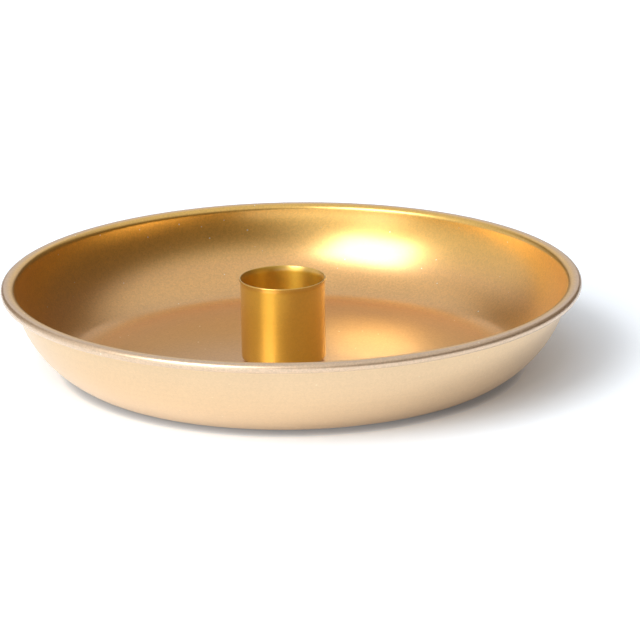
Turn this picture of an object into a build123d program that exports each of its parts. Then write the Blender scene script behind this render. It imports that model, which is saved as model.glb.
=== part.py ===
from build123d import *
from math import atan2, cos, degrees, hypot, radians, sin
import os

# A shallow round candle plate of thin lacquered sheet metal. Millimetres, +Z up.
# The origin is the middle of the flat base, on the surface that the plate stands on.

# Dish, a pressed pan. Its wall reaches outward from the edge of the flat base to the rim
rim_diameter = 160.0
dish_height = 24.6
dish_sheet = 0.7
wall_reach = 23.8
foot_radius = 13.0
wall_radius = 29.9

# Lip of the dish, rolled outward and under
shoulder_radius = 1.8
lip_width = 2.3
curl_diameter = 2.5
curl_turn = 205.0

# Candle cup, drawn from thinner sheet
candle_diameter = 22.0
candle_clearance = 0.2
cup_sheet = 0.5
cup_depth = 23.8
cup_foot_radius = 2.0
cup_off_centre = 2.4
mouth_flare = 0.35
mouth_height = 1.4

# Dimple pressed up through both floors: it centres the cup and hides the rivet's tail
dimple_height = 1.0
dimple_lean = 30.0
dimple_bend = 0.8
dimple_clearance = 0.1

# Rivet
rivet_diameter = 3.2
rivet_clearance = 0.05
head_diameter = 6.2
head_height = 0.5
tail_diameter = 5.6
tail_height = 0.65

# Share of a sheet's thickness, or of a rivet head's height, that its sharp edges are bevelled by
bevel_share = 0.3

# Worked out from the sizes above
rim_radius = rim_diameter / 2
base_radius = rim_radius - wall_reach
curl_radius = curl_diameter / 2
bore_radius = candle_diameter / 2 + candle_clearance
cup_radius = bore_radius + cup_sheet
hole_radius = rivet_diameter / 2 + rivet_clearance
cup_place = Pos(-cup_off_centre, 0, 0)


def tangent_chain(start, steps):
    """Lines (length,) and arcs (radius, turn in degrees) that follow on from each other, first along +X."""
    point = Vector(*start)
    heading = Vector(1, 0)
    edges = []
    for step in steps:
        if len(step) == 1:
            edge = Line(point, point + heading * step[0])
        else:
            edge = JernArc(point, heading, *step)
        edges.append(edge)
        point = edge @ 1
        heading = edge % 1
    return Wire(edges)


def turned_sheet(outside, thickness):
    """Sheet metal of one thickness on the left of its outside line, spun round the Z axis."""
    section = make_face(offset(outside, amount=thickness, side=Side.LEFT))
    open_edge = section.vertices().sort_by_distance(outside @ 1)[:2]
    section = chamfer(open_edge, thickness * bevel_share)
    return revolve(Plane.XZ * section, Axis.Z)


def circles_meet(first, first_radius, second, second_radius):
    """The meeting point of two circles that lies on the left of the line from first to second."""
    apart = hypot(second[0] - first[0], second[1] - first[1])
    along = (first_radius**2 - second_radius**2 + apart**2) / (2 * apart)
    aside = (first_radius**2 - along**2) ** 0.5
    right = ((second[0] - first[0]) / apart, (second[1] - first[1]) / apart)
    return (first[0] + right[0] * along - right[1] * aside, first[1] + right[1] * along + right[0] * aside)


def slope_below(centre, point):
    """Degrees that an arc about centre has climbed from its lowest point when it passes in line with point."""
    return degrees(atan2(point[0] - centre[0], centre[1] - point[1]))


def dimple_steps(first_flat, top_bend, bottom_bend):
    """From the rivet's hole over the dimple's flat top and down its cone to the level floor."""
    lean = radians(dimple_lean)
    slope = (dimple_height - (top_bend + bottom_bend) * (1 - cos(lean))) / sin(lean)
    steps = [(first_flat - hole_radius,), (top_bend, -dimple_lean), (slope,), (bottom_bend, dimple_lean)]
    reach = first_flat + (top_bend + bottom_bend) * sin(lean) + slope * cos(lean)
    return steps, reach


def dish_steps():
    """From the middle of the flat base out to the free edge of the rolled lip."""
    foot_centre = (base_radius, foot_radius)
    shoulder_centre = (rim_radius - lip_width, dish_height - shoulder_radius)
    shoulder_outside = shoulder_radius - dish_sheet
    wall_centre = circles_meet(
        foot_centre, wall_radius - foot_radius, shoulder_centre, wall_radius + shoulder_outside
    )
    wall_start = slope_below(wall_centre, foot_centre)
    wall_end = slope_below(wall_centre, shoulder_centre)
    print("wall climbs from", round(wall_start, 1), "to", round(wall_end, 1), "degrees")
    return [
        (base_radius,),
        (foot_radius, wall_start),
        (wall_radius, wall_end - wall_start),
        (shoulder_outside, -wall_end),
        (lip_width - curl_radius,),
        (curl_radius - dish_sheet, -curl_turn),
    ]


def make_dish():
    """Pressed pan with a rolled lip and, under the cup, a dimple round the rivet's hole."""
    pan = turned_sheet(tangent_chain((0, 0), dish_steps()), dish_sheet)
    steps, reach = dimple_steps(head_diameter / 2, dimple_bend, dimple_bend + dish_sheet)
    dimple_line = tangent_chain((hole_radius, dimple_height), steps)
    dimple = revolve(Plane.XZ * make_face(offset(dimple_line, amount=dish_sheet, side=Side.LEFT)), Axis.Z)
    blank = Cylinder(reach, dish_sheet, align=(Align.CENTER, Align.CENTER, Align.MIN))
    return pan - cup_place * blank + cup_place * dimple


def make_candle_cup():
    """Drawn cup with a rounded foot and a flared mouth, nested over the dish's dimple."""
    steps, reach = dimple_steps(
        head_diameter / 2 + dimple_clearance, dimple_bend + dish_sheet, dimple_bend
    )
    flare_turn = 2 * degrees(atan2(mouth_flare, mouth_height))
    flare_radius = mouth_height / sin(radians(flare_turn))
    edge_rise = cup_sheet * sin(radians(flare_turn))
    wall_height = cup_depth - cup_foot_radius - mouth_height - edge_rise
    steps += [
        (cup_radius - cup_foot_radius - reach,),
        (cup_foot_radius, 90),
        (wall_height,),
        (flare_radius, -flare_turn),
    ]
    outside = tangent_chain((hole_radius, dish_sheet + dimple_height), steps)
    return cup_place * turned_sheet(outside, cup_sheet)


def make_cup_rivet():
    """Flat-headed rivet through both floors, its tail set inside the dimple."""
    floors = dish_sheet + cup_sheet
    shank = Cylinder(rivet_diameter / 2, floors, align=(Align.CENTER, Align.CENTER, Align.MIN))
    head = Cylinder(head_diameter / 2, head_height, align=(Align.CENTER, Align.CENTER, Align.MIN))
    head = chamfer(head.edges().sort_by(Axis.Z)[-1], head_height * bevel_share)
    tail = Cylinder(tail_diameter / 2, tail_height, align=(Align.CENTER, Align.CENTER, Align.MAX))
    tail = chamfer(tail.edges().sort_by(Axis.Z)[0], tail_height * bevel_share)
    return cup_place * Pos(0, 0, dimple_height) * (shank + Pos(0, 0, floors) * head + tail)


os.makedirs("parts", exist_ok=True)
pieces = {"dish": make_dish(), "candle_cup": make_candle_cup(), "cup_rivet": make_cup_rivet()}
for node, shape in pieces.items():
    export_step(shape, f"parts/{node}.step")
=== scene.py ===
import bpy
from math import atan2, ceil, cos, degrees, hypot, pi, radians, sin
from mathutils import Matrix, Vector


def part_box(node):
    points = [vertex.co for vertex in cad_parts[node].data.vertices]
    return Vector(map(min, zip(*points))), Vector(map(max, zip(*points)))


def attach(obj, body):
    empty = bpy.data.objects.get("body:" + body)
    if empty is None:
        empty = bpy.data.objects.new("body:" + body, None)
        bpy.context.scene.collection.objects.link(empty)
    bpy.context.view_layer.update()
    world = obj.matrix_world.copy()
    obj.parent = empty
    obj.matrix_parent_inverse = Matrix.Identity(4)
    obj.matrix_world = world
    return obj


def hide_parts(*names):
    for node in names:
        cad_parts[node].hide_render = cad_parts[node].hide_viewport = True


# A shallow candle plate of gold-lacquered sheet metal on a white studio floor.
# Metres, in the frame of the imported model: +Z up, -Y towards the camera.
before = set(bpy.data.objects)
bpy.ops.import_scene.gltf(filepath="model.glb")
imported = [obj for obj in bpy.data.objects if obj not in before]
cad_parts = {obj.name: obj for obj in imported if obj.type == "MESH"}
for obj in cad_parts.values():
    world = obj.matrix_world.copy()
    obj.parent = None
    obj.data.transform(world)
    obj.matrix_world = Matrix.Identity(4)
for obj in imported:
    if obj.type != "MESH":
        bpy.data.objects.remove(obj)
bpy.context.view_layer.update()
mm = 0.001

# Sizes read from the frame
dish_low, dish_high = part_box("dish")
cup_low, cup_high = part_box("candle_cup")
rim_radius = dish_high.x
dish_height = dish_high.z
cup_centre = (cup_high.x + cup_low.x) / 2
floor_height = dish_low.z

# Dish
dish_sheet = 0.7 * mm
base_radius = 56.2 * mm
foot_radius = 13.0 * mm
wall_radius = 29.9 * mm
shoulder_radius = 1.8 * mm
lip_width = 2.3 * mm
curl_radius = 1.25 * mm
curl_turn = 205.0

# Distances from the axis between which the inside turns from the base's painted shade to the colour of the
# wall, then to painted reflection on its top and on the lip
wall_start = 50.0 * mm
wall_full = 66.0 * mm
wall_top_start = 70.0 * mm
wall_top_full = 76.0 * mm
lip_start = 77.2 * mm
lip_full = 78.8 * mm

# Candle cup
cup_sheet = 0.5 * mm
cup_radius = 11.7 * mm
cup_foot_radius = 2.0 * mm
cup_wall_slope = 90.0
mouth_flare = 0.35 * mm
mouth_height = 1.4 * mm

# Dimple under the cup, round the rivet
hole_radius = 1.65 * mm
dimple_flat = 3.1 * mm
dimple_height = 1.0 * mm
dimple_lean = 30.0
dimple_bend = 0.8 * mm
dimple_clearance = 0.1 * mm

# Rings of the dish up to the first radius are centred on the cup, and from the second on the dish
dimple_circle = 7.0 * mm
centred_circle = 14.0 * mm

# Fineness of the turned meshes: arcs in steps of degrees, and straight lines in runs of a longest length
turn_segments = 384
arc_step = 4.0
edge_steps = 8
longest_run = 3.0 * mm

# Camera, fitted to the outline of the photographed plate
aim_point = Vector((7.78, 0.0, 12.05)) * mm
camera_distance = 0.960
camera_elevation = radians(17.063)
camera_roll = radians(-0.788)
camera_lens = 195.05
sensor_width = 36.0

# Softboxes: azimuth (0 at the camera, negative to its left) and elevation, width, height and radiance
lamp_distance = 3.0
softboxes = {
    "key_softbox": (-43.0, 43.0, 1.7, 1.5, 6.2),
    "strip_softbox": (-37.0, 14.0, 0.8, 1.3, 0.9),
    "low_softbox": (-16.0, 5.5, 4.4, 0.5, 1.3),
    "back_softbox": (180.0, 25.0, 2.4, 1.6, 0.6),
}

# Room: dim and warm, with a bright ceiling and left wall. Each of them turns bright between two cosines
room_dim = (0.11, 0.068, 0.04)
room_bright = (0.68, 0.68, 0.68)
room_sides = [
    (Vector((0.0, 0.0, 1.0)), 0.50, 0.78),
    (Vector((-0.9, -0.44, 0.0)), 0.10, 0.70),
]
white = (1.0, 1.0, 1.0)

# Floor, with a painted contact shadow where the plate stands, and a glow that is weaker round the plate as
# a painted shadow
floor_size = 9.0
floor_colour = (0.91, 0.95, 0.99)
contact_samples = 8
contact_reach = 2.6 * mm
contact_full = 0.30
# Painted contact shadow: the floor's colour for the camera in a thin line where the plate stands
painted_contact_shade_colour = (0.48, 0.51, 0.55)
glow_colour = (0.90, 1.0, 1.12)
glow_near = 0.30
glow_far = 0.35
glow_start = 0.09
glow_full = 0.35
plate_centre = Vector((0.0, 0.0, 0.0))
# Painted shadow in the floor's glow, round a point right of and behind the plate's centre
painted_shadow_centre = Vector((10.0, 15.0, 0.0)) * mm
painted_shadow_radius = 66.0 * mm
painted_shadow_end_radius = 90.0 * mm
painted_shadow_share = 0.22

# Lacquers: colour, roughness and clear coat, some dish colours being painted shade, reflection and light
# Painted shade: the dish's flat base is darker than its wall
base_painted_shade_colour = (0.62, 0.37, 0.155)
wall_colour = (0.88, 0.48, 0.14)
# Painted reflection: the top of the inner wall is more amber, and the lip paler
wall_top_painted_reflection_colour = (0.90, 0.53, 0.08)
lip_painted_reflection_colour = (0.78, 0.56, 0.36)
# Painted light: the dish's outside is paler than its inside, for the bright floor it reflects
outside_painted_light_colour = (0.84, 0.61, 0.37)
dish_roughness = 0.30
lip_roughening = 0.12
cup_colour = (0.92, 0.56, 0.065)
cup_roughness = 0.40
cup_brushing = 0.85
brushing_turn = 0.25
metal_share = 0.88
inside_coat = 1.0
outside_coat = 0.2
coat_roughness = 0.26
coat_refraction = 1.9

# Lacquer detail: cells to the metre, and how far each layer moves the colour either way
coarse_flake_share = 1.0
fine_flake_share = 0.35
flake_cells = 2600.0
flake_reach = 0.08
grain_cells = 1300.0
grain_detail = 3.0
grain_reach = 0.06
mottle_cells = 45.0
mottle_reach = 0.03
spin_mark_cells = 900.0
spin_mark_reach = 0.03
soft_detail = 2.0

# Specks of dust: cells to the metre, share of cells that have none, and the largest speck's share of a cell
speck_colour = (1.0, 0.88, 0.64)
speck_cells = 450.0
speckless_share = 0.7
speck_share = 0.12

# Patches that are rougher or smoother, and the bump of the grain
patch_cells = 28.0
patch_low = 0.35
patch_high = 0.65
patch_reach = 0.02
bump_cells = 2200.0
bump_strength = 0.35
bump_height = 0.006 * mm


def trace(start, steps):
    """Stations (x, z, heading) along lines (length,) and arcs (radius, turn in degrees), first along +X."""
    x, z = start
    heading = 0.0
    stations = [(x, z, heading)]
    for step in steps:
        if len(step) == 1:
            count = ceil(step[0] / longest_run)
            for _ in range(count):
                x += step[0] / count * cos(heading)
                z += step[0] / count * sin(heading)
                stations.append((x, z, heading))
        else:
            radius, turn = step
            reach = radius if turn > 0 else -radius
            centre_x = x - reach * sin(heading)
            centre_z = z + reach * cos(heading)
            count = ceil(abs(turn) / arc_step)
            for i in range(1, count + 1):
                angle = heading + radians(turn) * i / count
                stations.append((centre_x + reach * sin(angle), centre_z - reach * cos(angle), angle))
            x, z, heading = stations[-1]
    return stations


def sheet_section(start, steps, thickness):
    """Closed outline of sheet metal as (x, z, normal x, normal z), with a half-round open edge."""
    stations = trace(start, steps)
    outside = [(x, z, sin(heading), -cos(heading)) for x, z, heading in stations]
    inside = [
        (x - thickness * sin(heading), z + thickness * cos(heading), -sin(heading), cos(heading))
        for x, z, heading in stations
    ]
    x, z, heading = stations[-1]
    half = thickness / 2
    middle_x = x - half * sin(heading)
    middle_z = z + half * cos(heading)
    edge = []
    for i in range(1, edge_steps):
        angle = heading - pi / 2 + pi * i / edge_steps
        normal = (cos(angle), sin(angle))
        edge.append((middle_x + half * normal[0], middle_z + half * normal[1], *normal))
    return outside + edge + inside[::-1]


def ring_centre(radius):
    """Rings near the rivet are centred on the cup, and rings further out on the dish."""
    share = (centred_circle - radius) / (centred_circle - dimple_circle)
    return cup_centre * min(max(share, 0.0), 1.0)


def turned_piece(name, section, centre, outside_rings=0):
    """A closed section spun round the Z axis, with exact normals. centre gives a ring's X from its radius.

    The first outside_rings rings of faces take the piece's second material.
    """
    points = []
    normals = []
    for x, z, normal_x, normal_z in section:
        for i in range(turn_segments):
            angle = 2 * pi * i / turn_segments
            points.append((centre(x) + x * cos(angle), x * sin(angle), z))
            normals.append((normal_x * cos(angle), normal_x * sin(angle), normal_z))
    faces = []
    rings = len(section)
    for ring in range(rings):
        this_ring = ring * turn_segments
        next_ring = (ring + 1) % rings * turn_segments
        for i in range(turn_segments):
            j = (i + 1) % turn_segments
            faces.append((this_ring + i, this_ring + j, next_ring + j, next_ring + i))
    mesh = bpy.data.meshes.new(name)
    mesh.from_pydata(points, [], faces)
    sides = [1] * outside_rings + [0] * (rings - outside_rings)
    mesh.polygons.foreach_set("material_index", [side for side in sides for _ in range(turn_segments)])
    mesh.shade_smooth()
    mesh.normals_split_custom_set_from_vertices(normals)
    piece = bpy.data.objects.new(name, mesh)
    bpy.context.scene.collection.objects.link(piece)
    return piece


def dimple_steps(first_flat, top_bend, bottom_bend):
    """Steps from the rivet's hole over the dimple's top and down its cone, and the radius where it ends."""
    lean = radians(dimple_lean)
    slope = (dimple_height - (top_bend + bottom_bend) * (1 - cos(lean))) / sin(lean)
    steps = [(first_flat - hole_radius,), (top_bend, -dimple_lean), (slope,), (bottom_bend, dimple_lean)]
    reach = first_flat + (top_bend + bottom_bend) * sin(lean) + slope * cos(lean)
    return steps, reach


def circles_meet(first, first_radius, second, second_radius):
    """The meeting point of two circles that lies on the left of the line from first to second."""
    apart = hypot(second[0] - first[0], second[1] - first[1])
    along = (first_radius**2 - second_radius**2 + apart**2) / (2 * apart)
    aside = (first_radius**2 - along**2) ** 0.5
    right = ((second[0] - first[0]) / apart, (second[1] - first[1]) / apart)
    return (first[0] + right[0] * along - right[1] * aside, first[1] + right[1] * along + right[0] * aside)


def slope_below(centre, point):
    """Degrees that an arc about centre has climbed from its lowest point when it is in line with point."""
    return degrees(atan2(point[0] - centre[0], centre[1] - point[1]))


def make_dish():
    """Pressed pan: dimple, flat base, curved wall and rolled lip."""
    steps, reach = dimple_steps(dimple_flat, dimple_bend, dimple_bend + dish_sheet)
    foot_centre = (base_radius, foot_radius)
    shoulder_centre = (rim_radius - lip_width, dish_height - shoulder_radius)
    shoulder_outside = shoulder_radius - dish_sheet
    wall_centre = circles_meet(
        foot_centre, wall_radius - foot_radius, shoulder_centre, wall_radius + shoulder_outside
    )
    foot_slope = slope_below(wall_centre, foot_centre)
    top_slope = slope_below(wall_centre, shoulder_centre)
    curl_inside = curl_radius - dish_sheet
    # The curl stops half a sheet short, because the half-round edge adds that much
    edge_turn = degrees(dish_sheet / 2 / curl_inside)
    steps += [
        (base_radius - reach,),
        (foot_radius, foot_slope),
        (wall_radius, top_slope - foot_slope),
        (shoulder_outside, -top_slope),
        (lip_width - curl_radius,),
        (curl_inside, edge_turn - curl_turn),
    ]
    section = sheet_section((hole_radius, floor_height + dimple_height), steps, dish_sheet)
    # The outside's lacquer covers the open edge too
    outside_rings = (len(section) + edge_steps) // 2
    return turned_piece("lacquered_dish", section, ring_centre, outside_rings)


def make_cup():
    """Drawn cup with a rounded foot and a flared mouth."""
    steps, reach = dimple_steps(dimple_flat + dimple_clearance, dimple_bend + dish_sheet, dimple_bend)
    flare_turn = 2 * degrees(atan2(mouth_flare, mouth_height))
    flare_radius = mouth_height / sin(radians(flare_turn))
    cup_base = floor_height + dish_sheet
    mouth_start = cup_high.z - mouth_height - cup_sheet / 2
    steps += [
        (cup_radius - cup_foot_radius - reach,),
        (cup_foot_radius, cup_wall_slope),
        (mouth_start - cup_base - cup_foot_radius,),
        (flare_radius, -flare_turn),
    ]
    section = sheet_section((hole_radius, cup_base + dimple_height), steps, cup_sheet)
    return turned_piece("lacquered_cup", section, lambda radius: cup_centre)


def add_node(tree, kind, settings=None, **sockets):
    """A shader node with its settings, and its sockets set to values or joined to other nodes' outputs.

    A socket is named with underscores for spaces, or is n and its number.
    """
    made = tree.nodes.new(kind)
    for key, value in (settings or {}).items():
        setattr(made, key, value)
    for key, value in sockets.items():
        socket = made.inputs[int(key[1:])] if key.startswith("n") else made.inputs[key.replace("_", " ")]
        if isinstance(value, bpy.types.NodeSocket):
            tree.links.new(value, socket)
        else:
            socket.default_value = value
    return made


def new_material(name):
    """An empty node material, its tree and its output node."""
    material = bpy.data.materials.new(name)
    material.use_nodes = True
    tree = material.node_tree
    tree.nodes.clear()
    output = tree.nodes.new("ShaderNodeOutputMaterial")
    return material, tree, output


def opaque(colour):
    """A colour as a socket takes it."""
    return (*colour, 1.0)


def noise(tree, place, cells, detail=soft_detail):
    """Smooth noise from 0 to 1, with so many cells to the metre."""
    return add_node(tree, "ShaderNodeTexNoise", Vector=place, Scale=cells, Detail=detail).outputs["Fac"]


def cell_noise(tree, place, cells):
    """A value from 0 to 1 that is even in each cell, and the distance from the cell's middle."""
    pattern = add_node(tree, "ShaderNodeTexVoronoi", Vector=place, Scale=cells)
    value = add_node(tree, "ShaderNodeSeparateColor", n0=pattern.outputs["Color"]).outputs["Red"]
    return value, pattern.outputs["Distance"]


def ramp(tree, value, low, high, first, last):
    """first where value is low, last where it is high, and even between them."""
    made = add_node(tree, "ShaderNodeMapRange", n0=value, n1=low, n2=high, n3=first, n4=last)
    return made.outputs["Result"]


def varied(tree, value, reach):
    """A factor round 1 that a value from 0 to 1 moves by up to reach either way."""
    return ramp(tree, value, 0.0, 1.0, 1.0 - reach, 1.0 + reach)


def combined(tree, operation, first, second):
    """Two values put together by a Math node."""
    return add_node(tree, "ShaderNodeMath", {"operation": operation}, n0=first, n1=second).outputs["Value"]


def times(tree, first, second):
    """The product of two values."""
    return combined(tree, "MULTIPLY", first, second)


def distance_between(tree, first, second):
    """The distance between two points."""
    return add_node(
        tree, "ShaderNodeVectorMath", {"operation": "DISTANCE"}, n0=first, n1=second
    ).outputs["Value"]


def blend(tree, share, first, last):
    """The colour at a share of the way from first, which is a colour or a socket, to last."""
    return add_node(
        tree,
        "ShaderNodeMix",
        {"data_type": "RGBA"},
        n0=share,
        n6=first if isinstance(first, bpy.types.NodeSocket) else opaque(first),
        n7=opaque(last),
    ).outputs[2]


def lacquer_places(tree):
    """Places for the lacquer's patterns: in the metal, round the axis, and the distance from the axis."""
    place = add_node(tree, "ShaderNodeTexCoord").outputs["Object"]
    along = add_node(tree, "ShaderNodeSeparateXYZ", n0=place)
    level_place = add_node(tree, "ShaderNodeCombineXYZ", n0=along.outputs["X"], n1=along.outputs["Y"])
    from_axis = add_node(
        tree, "ShaderNodeVectorMath", {"operation": "LENGTH"}, n0=level_place.outputs["Vector"]
    ).outputs["Value"]
    ring_place = add_node(tree, "ShaderNodeCombineXYZ", n0=from_axis, n2=along.outputs["Z"])
    return place, ring_place.outputs["Vector"], from_axis


def lacquer_colour(tree, places, colour, bands, flake_share):
    """The lacquer's colour in its bands of painted shade and reflection, with flake, grain, mottling,
    spinning marks and specks of dust.
    """
    place, ring_place, from_axis = places
    for band_start, band_full, band_colour in bands:
        colour = blend(tree, ramp(tree, from_axis, band_start, band_full, 0.0, 1.0), colour, band_colour)
    flake, _ = cell_noise(tree, place, flake_cells)
    shade = varied(tree, flake, flake_reach * flake_share)
    layers = [
        (noise(tree, place, grain_cells, grain_detail), grain_reach * flake_share),
        (noise(tree, place, mottle_cells), mottle_reach),
        (noise(tree, ring_place, spin_mark_cells), spin_mark_reach),
    ]
    for layer, reach in layers:
        shade = times(tree, shade, varied(tree, layer, reach))
    shaded = add_node(tree, "ShaderNodeVectorMath", {"operation": "SCALE"}, n0=colour, Scale=shade)
    speck_size, from_middle = cell_noise(tree, place, speck_cells)
    speck_radius = ramp(tree, speck_size, speckless_share, 1.0, 0.0, speck_share)
    on_speck = combined(tree, "LESS_THAN", from_middle, speck_radius)
    return blend(tree, times(tree, on_speck, flake_share), shaded.outputs["Vector"], speck_colour)


def lacquer(name, colour, roughness, flake_share, coat, bands=(), brushing=0.0):
    """Satin gold lacquer over metal, under a clear coat.

    Each of the bands turns the colour to its own one between two distances from the axis; on the dish they
    are painted shade on the base and painted reflection on the wall top and lip. A lacquer with bands is
    rougher on the lip. Brushing round the axis stretches highlights up and down.
    """
    material, tree, output = new_material(name)
    places = lacquer_places(tree)
    place, _, from_axis = places
    patch = noise(tree, place, patch_cells)
    rough = ramp(tree, patch, patch_low, patch_high, roughness - patch_reach, roughness + patch_reach)
    if bands:
        rougher = ramp(tree, from_axis, lip_start, lip_full, 0.0, lip_roughening)
        rough = combined(tree, "ADD", rough, rougher)
    grain_bump = add_node(
        tree,
        "ShaderNodeBump",
        Strength=bump_strength * flake_share,
        Distance=bump_height,
        Height=noise(tree, place, bump_cells),
    )
    tangent = add_node(tree, "ShaderNodeTangent", {"direction_type": "RADIAL", "axis": "Z"})
    shader = add_node(
        tree,
        "ShaderNodeBsdfPrincipled",
        Base_Color=lacquer_colour(tree, places, colour, bands, flake_share),
        Metallic=metal_share,
        Roughness=rough,
        Normal=grain_bump.outputs["Normal"],
        Tangent=tangent.outputs["Tangent"],
        Anisotropic=brushing,
        Anisotropic_Rotation=brushing_turn,
        Coat_Weight=coat,
        Coat_Roughness=coat_roughness,
        Coat_IOR=coat_refraction,
    )
    tree.links.new(shader.outputs["BSDF"], output.inputs["Surface"])
    return material


def ray_is_seen(tree):
    """1 for rays from the camera, in reflections or through glass, and 0 for diffuse and shadow rays."""
    path = add_node(tree, "ShaderNodeLightPath")
    seen = combined(tree, "MAXIMUM", path.outputs["Is Camera Ray"], path.outputs["Is Glossy Ray"])
    return combined(tree, "MAXIMUM", seen, path.outputs["Is Transmission Ray"])


def painted_contact_shade(tree):
    """The floor's colour with a painted contact shadow, darkened for the camera in a thin line where the
    plate stands on it.
    """
    nearby = add_node(
        tree, "ShaderNodeAmbientOcclusion", {"samples": contact_samples}, Distance=contact_reach
    )
    painted_shade_mask = ramp(tree, nearby.outputs["AO"], contact_full, 1.0, 1.0, 0.0)
    path = add_node(tree, "ShaderNodeLightPath")
    return blend(tree, times(tree, painted_shade_mask, path.outputs["Is Camera Ray"]), floor_colour, painted_contact_shade_colour)


def floor_glow(tree):
    """The strength of the glow that keeps the floor white, which grows a little away from the plate, with a
    painted shadow that weakens it round the plate, more to its right and back.
    """
    place = add_node(tree, "ShaderNodeTexCoord").outputs["Object"]
    from_plate = distance_between(tree, place, plate_centre)
    glow = ramp(tree, from_plate, glow_start, glow_full, glow_near, glow_far)
    from_painted_shadow = distance_between(tree, place, painted_shadow_centre)
    painted_shadow_factor = ramp(tree, from_painted_shadow, painted_shadow_radius, painted_shadow_end_radius, painted_shadow_share, 1.0)
    return times(tree, ray_is_seen(tree), times(tree, glow, painted_shadow_factor))


def make_floor():
    """White floor, level with the plate's base, and a little cool against the warm light off the plate."""
    material, tree, output = new_material("studio_floor")
    matt = add_node(tree, "ShaderNodeBsdfDiffuse", Color=painted_contact_shade(tree))
    glow = add_node(tree, "ShaderNodeEmission", Color=opaque(glow_colour), Strength=floor_glow(tree))
    both = add_node(tree, "ShaderNodeAddShader", n0=matt.outputs["BSDF"], n1=glow.outputs["Emission"])
    tree.links.new(both.outputs["Shader"], output.inputs["Surface"])
    half = floor_size / 2
    corners = [(-half, -half), (half, -half), (half, half), (-half, half)]
    mesh = bpy.data.meshes.new("studio_floor")
    mesh.from_pydata([(x, y, floor_height) for x, y in corners], [], [(0, 1, 2, 3)])
    mesh.materials.append(material)
    floor = bpy.data.objects.new("studio_floor", mesh)
    bpy.context.scene.collection.objects.link(floor)


def make_room():
    """World light: white to the camera, and the dim room with its bright sides to all else."""
    world = bpy.data.worlds.new("studio_room")
    world.use_nodes = True
    tree = world.node_tree
    tree.nodes.clear()
    direction = add_node(tree, "ShaderNodeTexCoord").outputs["Generated"]
    bright_share = 0.0
    for side, dim_edge, bright_edge in room_sides:
        along = add_node(
            tree, "ShaderNodeVectorMath", {"operation": "DOT_PRODUCT"}, n0=direction, n1=side
        ).outputs["Value"]
        bright = add_node(
            tree,
            "ShaderNodeMapRange",
            {"interpolation_type": "SMOOTHSTEP"},
            n0=along,
            n1=dim_edge,
            n2=bright_edge,
        ).outputs["Result"]
        bright_share = combined(tree, "MAXIMUM", bright_share, bright)
    room = blend(tree, bright_share, room_dim, room_bright)
    path = add_node(tree, "ShaderNodeLightPath")
    background = add_node(
        tree, "ShaderNodeBackground", Color=blend(tree, path.outputs["Is Camera Ray"], room, white)
    )
    output = tree.nodes.new("ShaderNodeOutputWorld")
    tree.links.new(background.outputs["Background"], output.inputs["Surface"])
    bpy.context.scene.world = world


def make_softbox(name, azimuth, elevation, width, height, radiance):
    """Soft rectangular lamp aimed at the plate, seen from there at an azimuth and elevation in degrees."""
    lamp = bpy.data.lights.new(name, "AREA")
    lamp.shape = "RECTANGLE"
    lamp.size = width
    lamp.size_y = height
    lamp.energy = radiance * pi * width * height
    source = bpy.data.objects.new(name, lamp)
    round_turn = radians(azimuth)
    climb = radians(elevation)
    towards = Vector((sin(round_turn) * cos(climb), -cos(round_turn) * cos(climb), sin(climb)))
    source.location = towards * lamp_distance
    source.rotation_euler = towards.to_track_quat("Z", "Y").to_euler()
    bpy.context.scene.collection.objects.link(source)


def make_camera():
    """The photograph's camera, which looks down at the plate and is rolled a little."""
    lens = bpy.data.cameras.new("photo_camera")
    lens.sensor_width = sensor_width
    lens.lens = camera_lens
    forward = Vector((0.0, cos(camera_elevation), -sin(camera_elevation)))
    level_right = Vector((1.0, 0.0, 0.0))
    level_up = level_right.cross(forward)
    right = cos(camera_roll) * level_right + sin(camera_roll) * level_up
    up = right.cross(forward)
    camera = bpy.data.objects.new("photo_camera", lens)
    turn = Matrix((right, up, -forward)).transposed()
    camera.matrix_world = Matrix.Translation(aim_point - forward * camera_distance) @ turn.to_4x4()
    bpy.context.scene.collection.objects.link(camera)
    bpy.context.scene.camera = camera


def dress(piece, node, slot, *materials):
    """The piece takes a node's place, rides with the plate and takes the materials given. The slot is not
    used.
    """
    for material in materials:
        piece.data.materials.append(material)
    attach(piece, "root")
    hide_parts(node)


# The inside's bands: painted shade on the base, the wall's colour, and painted reflection on the wall top
# and lip
inside_bands = [
    (wall_start, wall_full, wall_colour),
    (wall_top_start, wall_top_full, wall_top_painted_reflection_colour),
    (lip_start, lip_full, lip_painted_reflection_colour),
]
dish_gold = lacquer(
    "dish_gold_lacquer", base_painted_shade_colour, dish_roughness, coarse_flake_share, inside_coat, inside_bands
)
# The dish's outside, paler as painted light
outside_gold_painted_light = lacquer(
    "dish_outside_lacquer", outside_painted_light_colour, dish_roughness, fine_flake_share, outside_coat
)
cup_gold = lacquer(
    "cup_gold_lacquer", cup_colour, cup_roughness, fine_flake_share, inside_coat, brushing=cup_brushing
)
dress(make_dish(), "dish", "dish_lacquer", dish_gold, outside_gold_painted_light)
dress(make_cup(), "candle_cup", "cup_lacquer", cup_gold)

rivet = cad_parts["cup_rivet"]
rivet.data.materials.clear()
rivet.data.materials.append(cup_gold)

make_floor()
make_room()
for lamp_name, placing in softboxes.items():
    make_softbox(lamp_name, *placing)
make_camera()
bpy.context.scene.view_settings.view_transform = "Standard"
